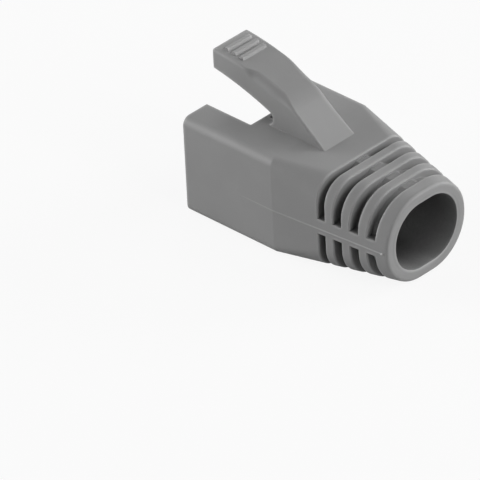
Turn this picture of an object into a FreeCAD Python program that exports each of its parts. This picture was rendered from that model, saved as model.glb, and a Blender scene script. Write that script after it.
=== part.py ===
import FreeCAD, Part
import math
import os
import Sketcher

# Strain relief boot for an eight-way modular plug, moulded in one piece.
# X runs across the boot and the mirror plane is x = 0.
# Y runs from the mouth, where the plug enters, to the end where the cable leaves.
# Z is up, the flat underside of the housing lies at z = 0. Millimetres and degrees.
# Sizes and sketches count Y from the mouth. Every sketch is moved back by half the length,
# so the frame's origin is at the middle of the underside's bounds.

SIZES = {
    # housing, the straight front block that grips the plug
    "width": 14.0,
    "height": 11.1,
    "front_length": 12.0,
    "total_length": 26.3,
    "edge_radius": 0.9,
    # neck, tapering to the cable end
    "end_width": 11.5,
    "end_top": 10.02,
    "end_bottom": 0.2,
    "end_radius": 4.85,
    "rim_round": 0.35,
    # socket for the plug body
    "socket_width": 11.74,
    "socket_depth": 6.95,
    "floor_thickness": 1.22,
    "roof_thickness": 1.47,
    "socket_corner": 0.4,
    # chamber behind the plug and the cable passage
    "chamber_width": 9.8,
    "chamber_floor": 1.5,
    "chamber_roof": 9.0,
    "chamber_corner": 1.0,
    "passage_start": 13.5,
    "passage_width": 8.86,
    "passage_height": 7.4,
    "passage_corner": 3.6,
    "passage_level": 5.17,
    "tube_wall": 0.78,
    # slots that make the neck flexible
    "slot_first": 17.74,
    "slot_first_width": 0.82,
    "slot_second": 19.61,
    "slot_pitch": 2.08,
    "slot_width": 0.99,
    "slot_bevel": 0.1,
    "spine_bottom": 4.6,
    "spine_top": 6.3,
    "web_width": 1.5,
    "web_foot_width": 4.4,
    "web_recess": 0.35,
    # notch over the plug's latch
    "notch_width": 7.08,
    "notch_depth": 6.07,
    "notch_corner": 0.15,
    # catch across the mouth floor
    "catch_width": 10.8,
    "catch_height": 1.0,
    "catch_lead": 0.3,
    "catch_flat": 0.9,
    "catch_back": 0.7,
    # parting line left by the two mould halves
    "flash_start": 7.5,
    "flash_height": 0.2,
    "flash_proud": 0.09,
    "flash_root": 0.1,
    "flash_nub": 0.4,
    # lever that shields the latch
    "lever_width": 5.0,
    "lever_root_width": 4.55,
    "lever_front": 0.03,
    "lever_top": 17.16,
    "lever_top_radius": 31.4,
    "lever_tip_lean": 3.88,
    "lever_crisp_lean": 10.0,
    "lever_soft_lean": 11.8,
    "lever_softest_lean": 14.4,
    "lever_bend_lean": 20.4,
    "lever_bend_radius": 8.0,
    "lever_ramp_lean": 38.4,
    "lever_foot_y": 14.85,
    "lever_nose": 2.13,
    "lever_under_radius": 34.0,
    "gap_radius": 0.88,
    "gap_centre_y": 7.2,
    "gap_lean": 23.7,
    "lever_plate": 1.0,
    "skirt_thickness": 1.0,
    "hollow_end": 10.4,
    "hollow_sink": 0.5,
    "hollow_start": 6.5,
    "stiffener_width": 0.9,
    "stiffener_height": 0.4,
    "stiffener_lean": 4.3,
    "lever_edge_round": 0.26,
    "lever_soft_round": 0.85,
    # grip ribs across the lever's tip
    "grip_first": 0.98,
    "grip_pitch": 1.0,
    "grip_base": 0.64,
    "grip_crest": 0.34,
    "grip_height": 0.26,
    "grip_side_gap": 0.8,
}
FULL_SLOT_COUNT = 3
RIM_ANGLES = (0, 30, 60, 90)
GRIP_COUNT = 3

doc = FreeCAD.newDocument("StrainReliefBoot")
sizes = doc.addObject("Spreadsheet::Sheet", "Sizes")
for row, (word, value) in enumerate(SIZES.items(), start=1):
    sizes.set("A%d" % row, word)
    sizes.set("B%d" % row, repr(value))
    sizes.setAlias("B%d" % row, word)
doc.recompute()


def size(expression):
    """Turn bare size names in an expression into references to the sheet."""
    words = []
    word = ""
    for letter in expression + " ":
        if letter.isalnum() or letter == "_":
            word += letter
            continue
        words.append("Sizes." + word if word in SIZES else word)
        words.append(letter)
        word = ""
    return "".join(words).strip()


def new_body(name):
    body = doc.addObject("PartDesign::Body", name)
    doc.recompute()
    return body


def new_sketch(body, name, plane, offset="0"):
    """Add a sketch on an origin plane, moved along its normal and back by half the length."""
    sketch = body.newObject("Sketcher::SketchObject", name)
    for feature in body.Origin.OriginFeatures:
        if feature.Role == plane:
            sketch.AttachmentSupport = [(feature, "")]
    sketch.MapMode = "FlatFace"
    if plane == "XZ_Plane":
        sketch.setExpression("AttachmentOffset.Base.z", size("%s + total_length / 2" % offset))
    else:
        backward = "x" if plane == "YZ_Plane" else "y"
        sketch.setExpression("AttachmentOffset.Base.z", size(offset))
        sketch.setExpression("AttachmentOffset.Base." + backward, size("-total_length / 2"))
    doc.recompute()
    return sketch


def value_of(text):
    """Work out a size expression with the values in the sheet."""
    return float(sizes.evalExpression(text))


def draw_loop(sketch, corners, edges):
    """Draw a closed loop through corners, each a pair of size expressions.

    An edge is None for a straight line, or (radius, bulge) for an arc whose bulge is +1
    when it bulges to the left of the direction of travel and -1 when to the right.
    """
    spots = [FreeCAD.Vector(value_of(across), value_of(along), 0) for across, along in corners]
    count = len(spots)
    first = sketch.GeometryCount
    ends = []
    for index, edge in enumerate(edges):
        start = spots[index]
        end = spots[(index + 1) % count]
        if edge is None:
            sketch.addGeometry(Part.LineSegment(start, end), False)
            ends.append((1, 2))
            continue
        radius = value_of(edge[0])
        bulge = edge[1]
        chord = end.sub(start)
        left = FreeCAD.Vector(-chord.y, chord.x, 0).normalize()
        reach = math.sqrt(max(radius ** 2 - (chord.Length / 2) ** 2, 0))
        centre = (start + end) * 0.5 - left * (reach * bulge)
        early, late = (end, start) if bulge > 0 else (start, end)
        angles = [math.atan2(spot.y - centre.y, spot.x - centre.x) for spot in (early, late)]
        if angles[1] < angles[0]:
            angles[1] += 2 * math.pi
        circle = Part.Circle(centre, FreeCAD.Vector(0, 0, 1), radius)
        sketch.addGeometry(Part.ArcOfCircle(circle, angles[0], angles[1]), False)
        ends.append((2, 1) if bulge > 0 else (1, 2))
    for index in range(count):
        following = (index + 1) % count
        sketch.addConstraint(Sketcher.Constraint(
            "Coincident", first + index, ends[index][1], first + following, ends[following][0]))
    for index, (across, along) in enumerate(corners):
        bind(sketch, "DistanceX", (-1, 1, first + index, ends[index][0]), across)
        bind(sketch, "DistanceY", (-1, 1, first + index, ends[index][0]), along)
        if edges[index] is not None:
            bind(sketch, "Radius", (first + index,), edges[index][0])
    doc.recompute()


def bind(sketch, kind, places, text):
    """Constrain part of a sketch and bind the constraint to a size expression."""
    number = sketch.addConstraint(Sketcher.Constraint(kind, *places, value_of(text)))
    sketch.setExpression("Constraints[%d]" % number, size(text))


def mirrored(corners):
    """Mirror a loop's corners in the plane x = 0."""
    return [("-(%s)" % across, along) for across, along in corners]


def draw_rounded(sketch, half_width, low, high, radius):
    """Draw a rectangle with rounded corners, centred on x = 0."""
    inner = "(%s) - (%s)" % (half_width, radius)
    lower = "(%s) + (%s)" % (low, radius)
    upper = "(%s) - (%s)" % (high, radius)
    right = [(inner, low), (half_width, lower), (half_width, upper), (inner, high)]
    left = list(reversed(mirrored(right)))
    corner = (radius, -1)
    draw_loop(sketch, right + left, [corner, None, corner, None, corner, None, corner, None])


def settle(body, feature):
    """Recompute and stop when the feature just made is not sound."""
    doc.recompute()
    for state in feature.State:
        if state in ("Invalid", "Error"):
            raise RuntimeError(feature.Name + " is " + state)
    if feature.Shape.isNull() or not feature.Shape.isValid():
        raise RuntimeError(feature.Name + " has no sound shape")
    body.Tip = feature
    doc.recompute()
    return feature


def raise_from(body, kind, name, sketch, length, reverse=False, both=False, refine=True):
    """Add a Pad or Pocket of a sketch with its length bound to a size expression."""
    feature = body.newObject("PartDesign::" + kind, name)
    feature.Refine = refine
    feature.Profile = sketch
    feature.setExpression("Length", size(length))
    feature.Reversed = reverse
    if both:
        feature.SideType = "Symmetric"
    return settle(body, feature)


def loft_through(body, kind, name, sketches):
    """Join sections with straight surfaces."""
    feature = body.newObject("PartDesign::" + kind, name)
    feature.Profile = sketches[0]
    feature.Sections = sketches[1:]
    feature.Ruled = True
    return settle(body, feature)


def repeat(body, name, feature, pitch, count):
    """Repeat a feature along Y."""
    pattern = body.newObject("PartDesign::LinearPattern", name)
    pattern.Originals = [feature]
    for line in body.Origin.OriginFeatures:
        if line.Role == "Y_Axis":
            pattern.Direction = (line, [""])
    pattern.setExpression("Length", size("%s * %d" % (pitch, count - 1)))
    pattern.Occurrences = count
    return settle(body, pattern)


def mirror(body, name, feature):
    """Mirror a feature in the plane x = 0."""
    pair = body.newObject("PartDesign::Mirrored", name)
    pair.Originals = [feature]
    for plane in body.Origin.OriginFeatures:
        if plane.Role == "YZ_Plane":
            pair.MirrorPlane = (plane, [""])
    return settle(body, pair)


def along_neck(front, back, y):
    """Give the value at y of a measure that changes evenly from the crease to the end's rounding."""
    share = "((%s) - front_length) / (total_length - rim_round - front_length)" % y
    return "((%s) + ((%s) - (%s)) * %s)" % (front, back, front, share)


def draw_neck(sketch, y, inset):
    """Draw the neck's outline at y, drawn in by an inset all round."""
    draw_rounded(sketch,
                 "%s - (%s)" % (along_neck("width / 2", "end_width / 2", y), inset),
                 "%s + (%s)" % (along_neck("0", "end_bottom", y), inset),
                 "%s - (%s)" % (along_neck("height", "end_top", y), inset),
                 "%s - (%s)" % (along_neck("edge_radius", "end_radius", y), inset))


def on_lever_arc(lean, inset="0"):
    """Give y and z of the point on the lever's top arc, or an inset of it, at a lean from upright."""
    radius = "(lever_top_radius - %s)" % inset
    across = "(%s + %s * sin(%s * 1 deg))" % (arc_centre_y, radius, lean)
    upward = "(%s + %s * cos(%s * 1 deg))" % (arc_centre_z, radius, lean)
    return across, upward


def lever_roof(y):
    """Give the height of the lever's curved top at y."""
    return "(%s + sqrt(lever_top_radius ^ 2 - (%s - %s) ^ 2))" % (arc_centre_z, y, arc_centre_y)


def roof_radius(point):
    """Give the edge radius wanted at a corner of the lever's roof, or None elsewhere."""
    for (across, upward), radius in zip(roof_corners, roof_radii):
        gap = math.hypot(point.y - value_of(across + " - total_length / 2"), point.z - value_of(upward))
        if gap < 0.001:
            return value_of(radius)
    return None


def lever_edges():
    """List the lever's front and long upper edges, each with the radius at either end."""
    front_y = value_of("lever_front - total_length / 2")
    crisp = value_of("lever_edge_round")
    found = []
    for number, edge in enumerate(lever.Shape.Edges, start=1):
        ends = [edge.Vertexes[0].Point, edge.Vertexes[-1].Point]
        if all(abs(end.y - front_y) < 0.001 for end in ends):
            found.append((number, crisp, crisp))
            continue
        radii = [roof_radius(end) for end in ends]
        if None not in radii and abs(ends[0].x - ends[1].x) < 1:
            found.append((number, radii[0], radii[1]))
    return found


boot = new_body("Boot")
boot.Label = "boot"

# housing and neck
front = new_sketch(boot, "HousingSection", "XZ_Plane")
draw_rounded(front, "width / 2", "0", "height", "edge_radius")
raise_from(boot, "Pad", "Housing", front, "front_length", reverse=True)

neck_front = new_sketch(boot, "NeckFront", "XZ_Plane", "-front_length")
draw_rounded(neck_front, "width / 2", "0", "height", "edge_radius")
neck_sections = [neck_front]
for angle in RIM_ANGLES:
    inset = "rim_round * (1 - cos(%d deg))" % angle
    place = "-total_length + rim_round * (1 - sin(%d deg))" % angle
    section = new_sketch(boot, "NeckEnd%d" % angle, "XZ_Plane", place)
    draw_rounded(section, "end_width / 2 - " + inset, "end_bottom + " + inset, "end_top - " + inset,
                 "end_radius - " + inset)
    neck_sections.append(section)
loft_through(boot, "AdditiveLoft", "Neck", neck_sections)

# lever over the latch, first as a solid tongue
arc_centre_y = "(lever_front - lever_top_radius * sin(lever_tip_lean * 1 deg))"
arc_centre_z = "(lever_top - lever_top_radius * cos(lever_tip_lean * 1 deg))"
bend_y, bend_z = on_lever_arc("lever_bend_lean")
bend_turn = "((lever_ramp_lean - lever_bend_lean) / 2 * 1 deg)"
bend_slope = "((lever_ramp_lean + lever_bend_lean) / 2 * 1 deg)"
bend_chord = "(2 * lever_bend_radius * sin(%s))" % bend_turn
ramp_y = "(%s + %s * cos(%s))" % (bend_y, bend_chord, bend_slope)
ramp_z = "(%s - %s * sin(%s))" % (bend_z, bend_chord, bend_slope)
foot_top = along_neck("height", "end_top", "lever_foot_y")
ramp_fall = "((%s - %s) / (lever_foot_y - %s))" % (ramp_z, foot_top, ramp_y)
root_sink = "0.4"
root_floor = "height - roof_thickness / 2"
lever_low = "lever_top - lever_nose"
roof_corners = [
    ("lever_front", "lever_top"),
    on_lever_arc("lever_crisp_lean"),
    on_lever_arc("lever_soft_lean"),
    on_lever_arc("lever_softest_lean"),
    (bend_y, bend_z),
    (ramp_y, ramp_z),
    ("lever_foot_y + " + root_sink, "%s - %s * %s" % (foot_top, ramp_fall, root_sink)),
]
roof_radii = ["lever_edge_round"] * 3 + ["lever_soft_round"] * 2 + ["lever_edge_round"] * 2
lever_corners = [("lever_front", lever_low)] + roof_corners + [
    ("lever_foot_y + " + root_sink, root_floor),
    ("gap_centre_y", root_floor),
    ("gap_centre_y", "height"),
    ("gap_centre_y + gap_radius * sin(gap_lean * 1 deg)",
     "height + gap_radius * (1 + cos(gap_lean * 1 deg))"),
]
roof_arc = ("lever_top_radius", 1)
lever_lines = [None] + [roof_arc] * 4 + [("lever_bend_radius", 1)] + [None] * 4
lever_lines += [("gap_radius", -1), ("lever_under_radius", -1)]
lever = new_body("Lever")
lever.Label = "lever"
lever_side = new_sketch(lever, "LeverSide", "YZ_Plane")
draw_loop(lever_side, lever_corners, lever_lines)
raise_from(lever, "Pad", "Tongue", lever_side, "lever_width", both=True, refine=False)

# the lever narrows a little towards its root
flank = [
    ("lever_width / 2", "lever_front - 0.1"),
    ("lever_width / 2 + 1", "lever_front - 0.1"),
    ("lever_width / 2 + 1", "lever_foot_y + 1"),
    ("lever_root_width / 2", "lever_foot_y + 1"),
]
lever_plan = new_sketch(lever, "LeverPlan", "XY_Plane", "lever_top + 1")
draw_loop(lever_plan, flank, [None] * 4)
draw_loop(lever_plan, mirrored(flank), [None] * 4)
raise_from(lever, "Pocket", "LeverFlanks", lever_plan, "lever_top", refine=False)
rounded = doc.addObject("Part::Fillet", "LeverRounded")
rounded.Base = lever
rounded.Edges = lever_edges()
doc.recompute()
tongue = new_body("RoundedLever")
tongue.BaseFeature = rounded
doc.recompute()

join = boot.newObject("PartDesign::Boolean", "LeverJoin")
join.Type = "Fuse"
join.Group = [tongue]
settle(boot, join)

# hollow between the lever's skirts, sunk a little into the housing's top
plate_front = on_lever_arc("lever_tip_lean", "lever_plate")
plate_back = on_lever_arc("lever_bend_lean", "lever_plate")
hollow_roof = "%s - tan(%s) * (hollow_end - %s)" % (plate_back[1], bend_slope, plate_back[0])
hollow_floor = "height - hollow_sink"
hollow_corners = [
    ("lever_front - 1", lever_low),
    ("lever_front - 1", plate_front[1]),
    plate_front,
    plate_back,
    ("hollow_end", hollow_roof),
    ("hollow_end", hollow_floor),
    ("hollow_start", hollow_floor),
    ("hollow_start", "height + gap_radius"),
    ("lever_front", lever_low + " - 1"),
]
hollow_side = new_sketch(boot, "HollowSide", "YZ_Plane")
draw_loop(hollow_side, hollow_corners, [
    None, None, ("lever_top_radius - lever_plate", 1), None, None, None, None, None, None])
raise_from(boot, "Pocket", "Hollow", hollow_side, "lever_root_width - 2 * skirt_thickness", both=True)

# rib that stiffens the lever's roof from below
rib_depth = "(lever_plate + stiffener_height)"
stiffener_corners = [
    on_lever_arc("stiffener_lean", rib_depth),
    on_lever_arc("stiffener_lean", "lever_plate / 2"),
    on_lever_arc("lever_bend_lean", "lever_plate / 2"),
    on_lever_arc("lever_bend_lean", rib_depth),
]
stiffener_side = new_sketch(boot, "StiffenerSide", "YZ_Plane")
draw_loop(stiffener_side, stiffener_corners, [
    None, ("lever_top_radius - lever_plate / 2", 1), None,
    ("lever_top_radius - " + rib_depth, -1)])
raise_from(boot, "Pad", "Stiffener", stiffener_side, "stiffener_width", both=True)

# grip ribs across the tip
for number in range(GRIP_COUNT):
    near = "grip_first + grip_pitch * %d" % number
    foot = [lever_roof(near), lever_roof(near + " + grip_base")]
    slope = "(grip_base - grip_crest) / 2"
    grip_corners = [
        (near, foot[0] + " - lever_plate / 2"),
        (near, foot[0]),
        (near + " + " + slope, foot[0] + " + grip_height"),
        (near + " + grip_base - " + slope, foot[1] + " + grip_height"),
        (near + " + grip_base", foot[1]),
        (near + " + grip_base", foot[1] + " - lever_plate / 2"),
    ]
    grip_side = new_sketch(boot, "GripSide%d" % number, "YZ_Plane")
    draw_loop(grip_side, grip_corners, [None] * 6)
    raise_from(boot, "Pad", "Grip%d" % number, grip_side, "lever_width - 2 * grip_side_gap", both=True)

# notch in the housing's roof for the plug's latch
notch_corners = [
    ("-notch_width / 2", "-1"),
    ("notch_width / 2", "-1"),
    ("notch_width / 2", "notch_depth - notch_corner"),
    ("notch_width / 2 - notch_corner", "notch_depth"),
    ("-notch_width / 2 + notch_corner", "notch_depth"),
    ("-notch_width / 2", "notch_depth - notch_corner"),
]
notch = new_sketch(boot, "NotchPlan", "XY_Plane", "height")
draw_loop(notch, notch_corners, [None, None, ("notch_corner", -1), None, ("notch_corner", -1), None])
raise_from(boot, "Pocket", "Notch", notch, "roof_thickness + socket_corner")

# socket, chamber behind it and passage for the cable
socket = new_sketch(boot, "SocketSection", "XZ_Plane")
draw_rounded(socket, "socket_width / 2", "floor_thickness", "height - roof_thickness", "socket_corner")
raise_from(boot, "Pocket", "Socket", socket, "socket_depth")

chamber = new_sketch(boot, "ChamberSection", "XZ_Plane", "-socket_depth + 0.5")
draw_rounded(chamber, "chamber_width / 2", "chamber_floor", "chamber_roof", "chamber_corner")
raise_from(boot, "Pocket", "Chamber", chamber, "passage_start - socket_depth + 0.5")

passage = new_sketch(boot, "PassageSection", "XZ_Plane", "-passage_start + 0.5")
draw_rounded(passage, "passage_width / 2", "passage_level - passage_height / 2",
             "passage_level + passage_height / 2", "passage_corner")
raise_from(boot, "Pocket", "Passage", passage, "total_length - passage_start + 1")

# catch across the mouth's floor
catch_corners = [
    ("0", "floor_thickness / 2"),
    ("catch_back + catch_flat", "floor_thickness / 2"),
    ("catch_back + catch_flat", "floor_thickness"),
    ("catch_flat", "floor_thickness + catch_height"),
    ("catch_lead", "floor_thickness + catch_height"),
    ("0", "floor_thickness + catch_lead"),
]
catch = new_sketch(boot, "CatchSide", "YZ_Plane")
draw_loop(catch, catch_corners, [None] * 6)
raise_from(boot, "Pad", "Catch", catch, "catch_width", both=True)

# slots round the passage's tube, parted by a spine on each flank
tube_half = "(passage_width / 2 + tube_wall)"
tube_corner = "(passage_corner + tube_wall)"
tube_rise = "(passage_height / 2 + tube_wall)"
slot_corners = []
for side, spine in ((1, "spine_top"), (-1, "spine_bottom")):
    lift = "(%d * (%s - passage_level) - %s + %s)" % (side, spine, tube_rise, tube_corner)
    reach = "(%s - %s + sqrt(%s ^ 2 - %s ^ 2))" % (tube_half, tube_corner, tube_corner, lift)
    crown = "passage_level + %d * %s" % (side, tube_rise)
    outside = "passage_level + %d * (height / 2 + 1)" % side
    half = [
        ("%s - %s" % (tube_half, tube_corner), crown),
        (reach, spine),
        ("width / 2 + 1", spine),
        ("width / 2 + 1", outside),
    ]
    slot_corners.append((side, half + list(reversed(mirrored(half)))))
for name, place, breadth in (("FirstSlot", "slot_first", "slot_first_width"),
                             ("SecondSlot", "slot_second", "slot_width")):
    section = new_sketch(boot, name + "Section", "XZ_Plane", "-" + place)
    for side, corners in slot_corners:
        bend = (tube_corner, side)
        draw_loop(section, corners, [bend, None, None, None, None, None, bend, None])
    slot = raise_from(boot, "Pocket", name, section, breadth)
repeat(boot, "FullSlots", slot, "slot_pitch", FULL_SLOT_COUNT)

# bevels on the slots' rims, cut by blocks that are hollowed to a waist at each slot
rims = new_body("SlotRims")
rims.AllowCompound = True
slots = [("First", "slot_first", "slot_first_width")]
slots += [("Full%d" % number, "(slot_second + slot_pitch * %d)" % number, "slot_width")
          for number in range(FULL_SLOT_COUNT)]
for name, near, breadth in slots:
    block_start = "%s - 2 * slot_bevel" % near
    block = new_sketch(rims, name + "RimBlock", "XZ_Plane", "-(%s)" % block_start)
    for side, spine in ((1, "spine_top"), (-1, "spine_bottom")):
        outside = "passage_level + %d * (height / 2 + 1)" % side
        draw_loop(block, [("-width / 2 - 1", spine), ("width / 2 + 1", spine),
                          ("width / 2 + 1", outside), ("-width / 2 - 1", outside)], [None] * 4)
    raise_from(rims, "Pad", name + "Block", block, breadth + " + 4 * slot_bevel", reverse=True)
    far = "%s + %s" % (near, breadth)
    waist = [
        (near + " - 3 * slot_bevel", "-2 * slot_bevel"),
        (near + " + slot_bevel", "2 * slot_bevel"),
        (far + " - slot_bevel", "2 * slot_bevel"),
        (far + " + 3 * slot_bevel", "-2 * slot_bevel"),
    ]
    waist_sections = []
    for number, (place, inset) in enumerate(waist):
        section = new_sketch(rims, "%sWaist%d" % (name, number), "XZ_Plane", "-(%s)" % place)
        draw_neck(section, place, inset)
        waist_sections.append(section)
    loft_through(rims, "SubtractiveLoft", name + "Waist", waist_sections)
rim_cut = boot.newObject("PartDesign::Boolean", "RimCut")
rim_cut.Type = "Cut"
rim_cut.Group = [rims]
settle(boot, rim_cut)

# webs that join the rings above and below the tube, broader at the foot
webs_end = "slot_second + slot_pitch * %d + slot_width" % (FULL_SLOT_COUNT - 1)
for name, front_z, back_z, side in (("TopWeb", "height", "end_top", 1),
                                    ("BottomWeb", "0", "end_bottom", -1)):
    foot = "passage_level + %d * (passage_height / 2 + tube_wall / 2)" % side
    web_sections = []
    for number, place in enumerate(("slot_first - 0.1", webs_end + " + 0.1")):
        crest = "%s - %d * web_recess" % (along_neck(front_z, back_z, place), side)
        half = [("web_width / 2", crest), ("web_foot_width / 2", foot)]
        section = new_sketch(boot, "%sSection%d" % (name, number), "XZ_Plane", "-(%s)" % place)
        draw_loop(section, half + list(reversed(mirrored(half))), [None] * 4)
        web_sections.append(section)
    loft_through(boot, "AdditiveLoft", name, web_sections)

# raised line where the mould halves met, along each flank, with a nub at its end
flash_stop = "total_length - rim_round"
flash_stations = [
    ("flash_start", "0.01", "flash_height"),
    ("front_length", "flash_proud / 2", "flash_height"),
    (flash_stop + " - flash_nub", "flash_proud", "flash_height"),
    (flash_stop + " - flash_nub / 2", "flash_proud * 2.5", "flash_height * 2"),
    (flash_stop, "flash_proud", "flash_height"),
]
flash_sections = []
for number, (place, proud, tall) in enumerate(flash_stations):
    skin = "width / 2" if number < 2 else along_neck("width / 2", "end_width / 2", place)
    ridge = [
        ("%s - flash_root" % skin, "passage_level - %s / 2" % tall),
        ("%s + %s" % (skin, proud), "passage_level"),
        ("%s - flash_root" % skin, "passage_level + %s / 2" % tall),
    ]
    section = new_sketch(boot, "FlashSection%d" % number, "XZ_Plane", "-(%s)" % place)
    draw_loop(section, ridge, [None] * 3)
    flash_sections.append(section)
flash = loft_through(boot, "AdditiveLoft", "Flash", flash_sections)
mirror(boot, "FlashPair", flash)

for thing in doc.Objects:
    for state in thing.State:
        if state in ("Invalid", "Error"):
            raise RuntimeError(thing.Name + " is " + state)
shape = boot.Shape
if shape.isNull() or not shape.isValid() or len(shape.Solids) != 1:
    raise RuntimeError("the boot is not one sound solid")
os.makedirs("parts", exist_ok=True)
shape.exportStep("parts/%s.step" % boot.Label)
print("boot", round(shape.Volume, 1), "mm3")
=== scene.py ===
import math

import bpy
from mathutils import Matrix, Vector

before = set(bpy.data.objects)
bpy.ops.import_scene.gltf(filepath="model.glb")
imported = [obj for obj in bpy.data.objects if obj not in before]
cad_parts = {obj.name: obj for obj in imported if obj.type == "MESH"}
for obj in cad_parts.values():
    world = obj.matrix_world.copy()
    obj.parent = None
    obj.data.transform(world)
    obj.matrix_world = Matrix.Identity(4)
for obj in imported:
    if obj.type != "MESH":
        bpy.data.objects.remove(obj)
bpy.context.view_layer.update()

# One soft boot that slips over a network plug. Everything is in metres, with +Y from the mouth
# to the cable end and +Z up towards the lever. The moulding comes from the frame as it is, and
# this script gives it its surface and sets up the floor, the light and the camera.

MM = 0.001

# the moulding's own sizes, with levels from the underside and Y from the middle
SOCKET_WIDTH, SOCKET_HEIGHT, SOCKET_LEVEL = 11.74 * MM, 8.4 * MM, 5.43 * MM
PASSAGE_WIDTH, PASSAGE_HEIGHT, PASSAGE_LEVEL = 8.86 * MM, 7.4 * MM, 5.17 * MM
PASSAGE_START = 0.35 * MM
PARTING_LEVEL = 5.17 * MM
LEVER_TIP = (0, -12.5 * MM, 16.9 * MM)

FLOOR_HALF_WIDTH = 2.0
FLOOR_LEVEL = -0.02 * MM
# how much of what the camera sees of the floor is plain white, with shaded card as the rest
FLOOR_WHITENESS = 0.9

# azimuth and elevation in degrees, and watts
SOFT_BOXES = [
    (22, 14, 6.5),
    (45, 14, 2.0),
    (240, 14, 5.6),
    (300, 14, 1.1),
    (180, 34, 3.3),
    (225, 45, 1.1),
    (315, 45, 0.9),
    (0, 65, 0.3),
    (90, 65, 0.6),
]
SOFT_BOX_SIZE = 0.4
SOFT_BOX_DISTANCE = 0.9
SOFT_BOX_TARGET = Vector((0, 0, 6.0 * MM))

# azimuth, elevation and roll in degrees, and lens and sensor in millimetres
CAMERA_TURN = (135.371, 33.055, -2.894)
CAMERA_PLACE = (0.461703, 0.454720, 0.420893)
CAMERA_LENS, CAMERA_SENSOR = 580.67, 36.0


def linear(hex_colour):
    """Turn an sRGB hex colour into linear red, green, blue and alpha."""
    parts = [int(hex_colour[i:i + 2], 16) / 255 for i in (1, 3, 5)]
    return [p / 12.92 if p <= 0.04045 else ((p + 0.055) / 1.055) ** 2.4 for p in parts] + [1.0]


def node(tree, kind, settings=None, links=None):
    """Add a node, set its properties and sockets, and link its sockets to other nodes.

    A socket goes by its name, or by its number where several have the same name.
    """
    made = tree.nodes.new(kind)
    for key, value in (settings or {}).items():
        if isinstance(key, str) and key not in made.inputs:
            setattr(made, key, value)
        else:
            made.inputs[key].default_value = value
    for key, source in (links or {}).items():
        tree.links.new(source, made.inputs[key])
    return made


def per_metre(size_mm):
    """Give the texture scale whose features are about this many millimetres across."""
    return 1 / (size_mm * MM)


def inside_boot(tree, place, behind_chamber):
    """Give 1 on the walls of the socket, the chamber and the cable passage, and 0 elsewhere.

    A surface a few hundredths further out than the walls still counts as inside.
    """
    # how far out from the socket's middle, across and up, where its walls are at 1
    from_middle = node(tree, "ShaderNodeMapping",
                       {"Location": (0, 0, -2 * SOCKET_LEVEL / SOCKET_HEIGHT),
                        "Scale": (2 / SOCKET_WIDTH, 0, 2 / SOCKET_HEIGHT)},
                       {"Vector": place})
    sizes = node(tree, "ShaderNodeVectorMath", {"operation": "ABSOLUTE"},
                 {"Vector": from_middle.outputs["Vector"]})
    sides = node(tree, "ShaderNodeSeparateXYZ", links={"Vector": sizes.outputs["Vector"]})
    furthest = node(tree, "ShaderNodeMath", {"operation": "MAXIMUM"},
                    {0: sides.outputs["X"], 1: sides.outputs["Z"]})
    in_socket = node(tree, "ShaderNodeMapRange",
                     {"From Min": 1.04, "From Max": 1.1, "To Min": 1.0, "To Max": 0.0},
                     {"Value": furthest.outputs["Value"]})

    # the same for the passage, which is round
    from_middle = node(tree, "ShaderNodeMapping",
                       {"Location": (0, 0, -2 * PASSAGE_LEVEL / PASSAGE_HEIGHT),
                        "Scale": (2 / PASSAGE_WIDTH, 0, 2 / PASSAGE_HEIGHT)},
                       {"Vector": place})
    reach = node(tree, "ShaderNodeVectorMath", {"operation": "LENGTH"},
                 {"Vector": from_middle.outputs["Vector"]})
    in_passage = node(tree, "ShaderNodeMapRange",
                      {"From Min": 1.06, "From Max": 1.14, "To Min": 1.0, "To Max": 0.0},
                      {"Value": reach.outputs["Value"]})

    inside = node(tree, "ShaderNodeMapRange",
                  links={"Value": behind_chamber, "To Min": in_socket.outputs["Result"],
                         "To Max": in_passage.outputs["Result"]})
    return inside.outputs["Result"]


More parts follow.
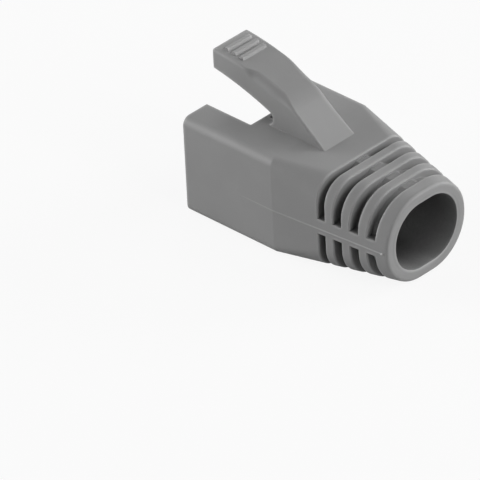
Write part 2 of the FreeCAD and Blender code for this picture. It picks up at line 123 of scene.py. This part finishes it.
def soft_pvc():
    """Plasticised PVC, injection moulded in a finely eroded steel mould.

    The eye sees an even mid grey with a soft satin sheen, a very fine grain and slight
    waves where thick places shrank as they cooled.
    """
    material = bpy.data.materials.new("soft_pvc_moulded_satin")
    material.use_nodes = True
    tree = material.node_tree
    tree.nodes.clear()
    place = node(tree, "ShaderNodeTexCoord").outputs["Object"]
    split = node(tree, "ShaderNodeSeparateXYZ", links={"Vector": place})
    along, up = split.outputs["Y"], split.outputs["Z"]
    behind_chamber = node(tree, "ShaderNodeMath", {"operation": "GREATER_THAN", 1: PASSAGE_START},
                          {0: along}).outputs["Value"]
    inside = inside_boot(tree, place, behind_chamber)

    # pigment that is not quite evenly mixed, in clouds about 5 mm across
    clouds = node(tree, "ShaderNodeTexNoise", {"Scale": per_metre(5.0), "Detail": 3.0},
                  {"Vector": place})
    pigment = node(tree, "ShaderNodeValToRGB", links={"Fac": clouds.outputs["Fac"]})
    darker, lighter = pigment.color_ramp.elements
    darker.position, darker.color = 0.35, linear("#8A8A8A")
    lighter.position, lighter.color = 0.65, linear("#8E8E8E")

    # Painted shade: the colour is darkened in the slots and corners, and more inside, by how open
    # each place is.
    # Each painted shade's value is the share of the pigment's brightness that it leaves, and the
    # shelter's is how open a place is, from 0 in a closed corner to 1 on a flat side.
    shelter = node(tree, "ShaderNodeAmbientOcclusion",
                   {"samples": 8, "only_local": True, "Distance": 9.0 * MM})
    # outside, the painted shade is lighter on top and darker lower down
    darkest_shade_by_height = node(tree, "ShaderNodeMapRange",
                {"From Min": 7.8 * MM, "From Max": 9.4 * MM, "To Min": 0.52, "To Max": 0.85},
                {"Value": up})
    painted_shade_outside = node(tree, "ShaderNodeMapRange",
                      {"From Min": 0.15, "From Max": 0.7, "To Max": 1.0},
                      {"Value": shelter.outputs["AO"], "To Min": darkest_shade_by_height.outputs["Result"]})
    painted_shade_inside = node(tree, "ShaderNodeMapRange",
                      {"From Min": 0.25, "From Max": 0.8, "To Min": 0.05, "To Max": 0.93},
                      {"Value": shelter.outputs["AO"]})
    # in the socket the painted shade is darker deeper in, up to 3.6 mm, and from there it stays
    # as dark
    socket_shade_inward = node(tree, "ShaderNodeMapRange",
                {"From Min": -12.8 * MM, "From Max": -9.5 * MM, "To Min": 1.0, "To Max": 0.35},
                {"Value": along})
    # painted light: the passage's floor is lighter, where light from above falls on it
    lit_passage_floor = node(tree, "ShaderNodeMapRange",
                      {"From Min": 1.5 * MM, "From Max": 2.8 * MM, "To Min": 1.3, "To Max": 0.95},
                      {"Value": up})
    inner_shade_by_place = node(tree, "ShaderNodeMapRange",
                  links={"Value": behind_chamber, "To Min": socket_shade_inward.outputs["Result"],
                         "To Max": lit_passage_floor.outputs["Result"]})
    painted_shade_deep = node(tree, "ShaderNodeMath", {"operation": "MULTIPLY"},
                     {0: painted_shade_inside.outputs["Result"], 1: inner_shade_by_place.outputs["Result"]})
    # painted shade, outside and inside together
    painted_shade_total = node(tree, "ShaderNodeMapRange",
                links={"Value": inside, "To Min": painted_shade_outside.outputs["Result"],
                       "To Max": painted_shade_deep.outputs["Value"]})

    # painted highlight: the edges and the grips are painted paler, up to 0.35 mm in
    edges = node(tree, "ShaderNodeAmbientOcclusion",
                 {"samples": 8, "only_local": True, "inside": True, "Distance": 0.35 * MM})
    painted_edge_highlight = node(tree, "ShaderNodeMapRange",
                  {"From Min": 0.95, "From Max": 0.75, "To Min": 1.0, "To Max": 1.25},
                  {"Value": edges.outputs["AO"]})
    # and a painted highlight makes the lever's tip paler
    from_lever_tip = node(tree, "ShaderNodeVectorMath", {"operation": "DISTANCE", 1: LEVER_TIP},
                      {0: place})
    painted_tip_highlight = node(tree, "ShaderNodeMapRange",
                   {"From Min": 1.5 * MM, "From Max": 4.0 * MM, "To Min": 1.14, "To Max": 1.0},
                   {"Value": from_lever_tip.outputs["Value"]})

    # painted highlight: the flash along the parting line is painted whiter
    above = node(tree, "ShaderNodeMath", {"operation": "SUBTRACT", 1: PARTING_LEVEL}, {0: up})
    from_flash = node(tree, "ShaderNodeMath", {"operation": "ABSOLUTE"},
                      {0: above.outputs["Value"]})
    painted_flash_highlight = node(tree, "ShaderNodeMapRange",
                  {"From Min": 0.06 * MM, "From Max": 0.14 * MM, "To Min": 1.3, "To Max": 1.0},
                  {"Value": from_flash.outputs["Value"]})
    # it grows from the housing's middle and stops before the cable end's round edge
    begun = node(tree, "ShaderNodeMapRange",
                 {"From Min": -5.6 * MM, "From Max": 2.0 * MM, "To Min": 1.0},
                 {"Value": along, "To Max": painted_flash_highlight.outputs["Result"]})
    ended = node(tree, "ShaderNodeMapRange",
                 {"From Min": 12.7 * MM, "From Max": 12.8 * MM, "To Max": 1.0},
                 {"Value": along, "To Min": begun.outputs["Result"]})
    outer_flash_highlight = node(tree, "ShaderNodeMapRange", {"To Max": 1.0},
                   {"Value": inside, "To Min": ended.outputs["Result"]})

    # the pigment is scaled by the painted shade and by the painted highlights
    colour = pigment.outputs["Color"]
    for share in (painted_shade_total, painted_edge_highlight, painted_tip_highlight, outer_flash_highlight):
        colour = node(tree, "ShaderNodeVectorMath", {"operation": "SCALE"},
                      {"Vector": colour, "Scale": share.outputs["Result"]}).outputs["Vector"]

    # the mould's cut edges leave radii of about 0.1 mm, too small for the moulding's own shape
    broken = node(tree, "ShaderNodeBevel", {"samples": 6, "Radius": 0.12 * MM})
    # sink marks and flow waves about 3 mm long
    waves = node(tree, "ShaderNodeTexNoise", {"Scale": per_metre(3.0), "Detail": 1.0},
                 {"Vector": place})
    waved = node(tree, "ShaderNodeBump", {"Strength": 0.35, "Distance": 0.04 * MM},
                 {"Height": waves.outputs["Fac"], "Normal": broken.outputs["Normal"]})
    # eroded grain of about 0.06 mm, drawn at 0.14 mm so that it shows
    grain = node(tree, "ShaderNodeTexNoise",
                 {"Scale": per_metre(0.14), "Detail": 2.0, "Roughness": 0.6}, {"Vector": place})
    grained = node(tree, "ShaderNodeBump", {"Strength": 0.5, "Distance": 0.008 * MM},
                   {"Height": grain.outputs["Fac"], "Normal": waved.outputs["Normal"]})
    # satin outside, where the grain varies it a little, and dull inside
    satin = node(tree, "ShaderNodeMapRange",
                 {"From Min": 0.3, "From Max": 0.7, "To Min": 0.50, "To Max": 0.60},
                 {"Value": grain.outputs["Fac"]})
    roughness = node(tree, "ShaderNodeMapRange", {"To Max": 0.85},
                     {"Value": inside, "To Min": satin.outputs["Result"]})

    shader = node(tree, "ShaderNodeBsdfPrincipled", {"IOR": 1.53, "Metallic": 0.0},
                  {"Base Color": colour, "Roughness": roughness.outputs["Result"],
                   "Normal": grained.outputs["Normal"]})
    node(tree, "ShaderNodeOutputMaterial", links={"Surface": shader.outputs["BSDF"]})
    return material


def pale_card():
    """Matt pale grey card, which the camera sees as white with the boot's soft shadow on it."""
    material = bpy.data.materials.new("pale_card_matt")
    material.use_nodes = True
    tree = material.node_tree
    tree.nodes.clear()
    card = node(tree, "ShaderNodeBsdfDiffuse", {"Color": linear("#D4D4D4")})
    white = node(tree, "ShaderNodeEmission", {"Color": linear("#FFFFFF"), "Strength": 1.0})
    rays = node(tree, "ShaderNodeLightPath")
    seen = node(tree, "ShaderNodeMath", {"operation": "MULTIPLY", 1: FLOOR_WHITENESS},
                {0: rays.outputs["Is Camera Ray"]})
    mixed = node(tree, "ShaderNodeMixShader",
                 links={"Fac": seen.outputs["Value"], 1: card.outputs["BSDF"],
                        2: white.outputs["Emission"]})
    node(tree, "ShaderNodeOutputMaterial", links={"Surface": mixed.outputs["Shader"]})
    return material


def lay_floor():
    """Lay a wide card a hair below the boot's underside."""
    mesh = bpy.data.meshes.new("floor")
    corners = [(x * FLOOR_HALF_WIDTH, y * FLOOR_HALF_WIDTH, FLOOR_LEVEL)
               for x, y in ((-1, -1), (1, -1), (1, 1), (-1, 1))]
    mesh.from_pydata(corners, [], [(0, 1, 2, 3)])
    mesh.materials.append(pale_card())
    floor = bpy.data.objects.new("floor", mesh)
    bpy.context.scene.collection.objects.link(floor)


def whiten_room():
    """Leave the room itself unlit, but white to the camera."""
    world = bpy.data.worlds.new("plain_room")
    bpy.context.scene.world = world
    world.use_nodes = True
    tree = world.node_tree
    tree.nodes.clear()
    unlit = node(tree, "ShaderNodeBackground", {"Strength": 0.0})
    white = node(tree, "ShaderNodeBackground", {"Color": linear("#FFFFFF"), "Strength": 1.0})
    rays = node(tree, "ShaderNodeLightPath")
    mixed = node(tree, "ShaderNodeMixShader",
                 links={"Fac": rays.outputs["Is Camera Ray"], 1: unlit.outputs["Background"],
                        2: white.outputs["Background"]})
    node(tree, "ShaderNodeOutputWorld", links={"Surface": mixed.outputs["Shader"]})


def hang_soft_box(name, azimuth, elevation, watts):
    """Hang a square soft box round the boot, with azimuth 0 in front of the mouth."""
    lamp = bpy.data.lights.new(name, "AREA")
    lamp.shape = "SQUARE"
    lamp.size = SOFT_BOX_SIZE
    lamp.energy = watts
    hung = bpy.data.objects.new(name, lamp)
    turn, rise = math.radians(azimuth), math.radians(elevation)
    away = Vector((math.sin(turn) * math.cos(rise), -math.cos(turn) * math.cos(rise),
                   math.sin(rise)))
    hung.location = away * SOFT_BOX_DISTANCE
    aim = (SOFT_BOX_TARGET - hung.location).to_track_quat("-Z", "Y")
    hung.rotation_euler = aim.to_euler()
    bpy.context.scene.collection.objects.link(hung)


def place_camera():
    """Look down on the boot's cable end from its +X side, from far off."""
    lens = bpy.data.cameras.new("camera")
    lens.lens, lens.sensor_width = CAMERA_LENS, CAMERA_SENSOR
    camera = bpy.data.objects.new("camera", lens)
    azimuth, elevation, roll = (math.radians(angle) for angle in CAMERA_TURN)
    turn = (Matrix.Rotation(azimuth, 4, "Z") @ Matrix.Rotation(math.pi / 2 - elevation, 4, "X")
            @ Matrix.Rotation(roll, 4, "Z"))
    camera.matrix_world = Matrix.Translation(CAMERA_PLACE) @ turn
    bpy.context.scene.collection.objects.link(camera)
    bpy.context.scene.camera = camera


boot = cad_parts["boot"]
boot.data.materials.clear()
boot.data.materials.append(soft_pvc())

lay_floor()
whiten_room()
for number, (azimuth, elevation, watts) in enumerate(SOFT_BOXES):
    hang_soft_box("soft_box_%d" % number, azimuth, elevation, watts)
place_camera()
bpy.context.scene.view_settings.view_transform = "Standard"
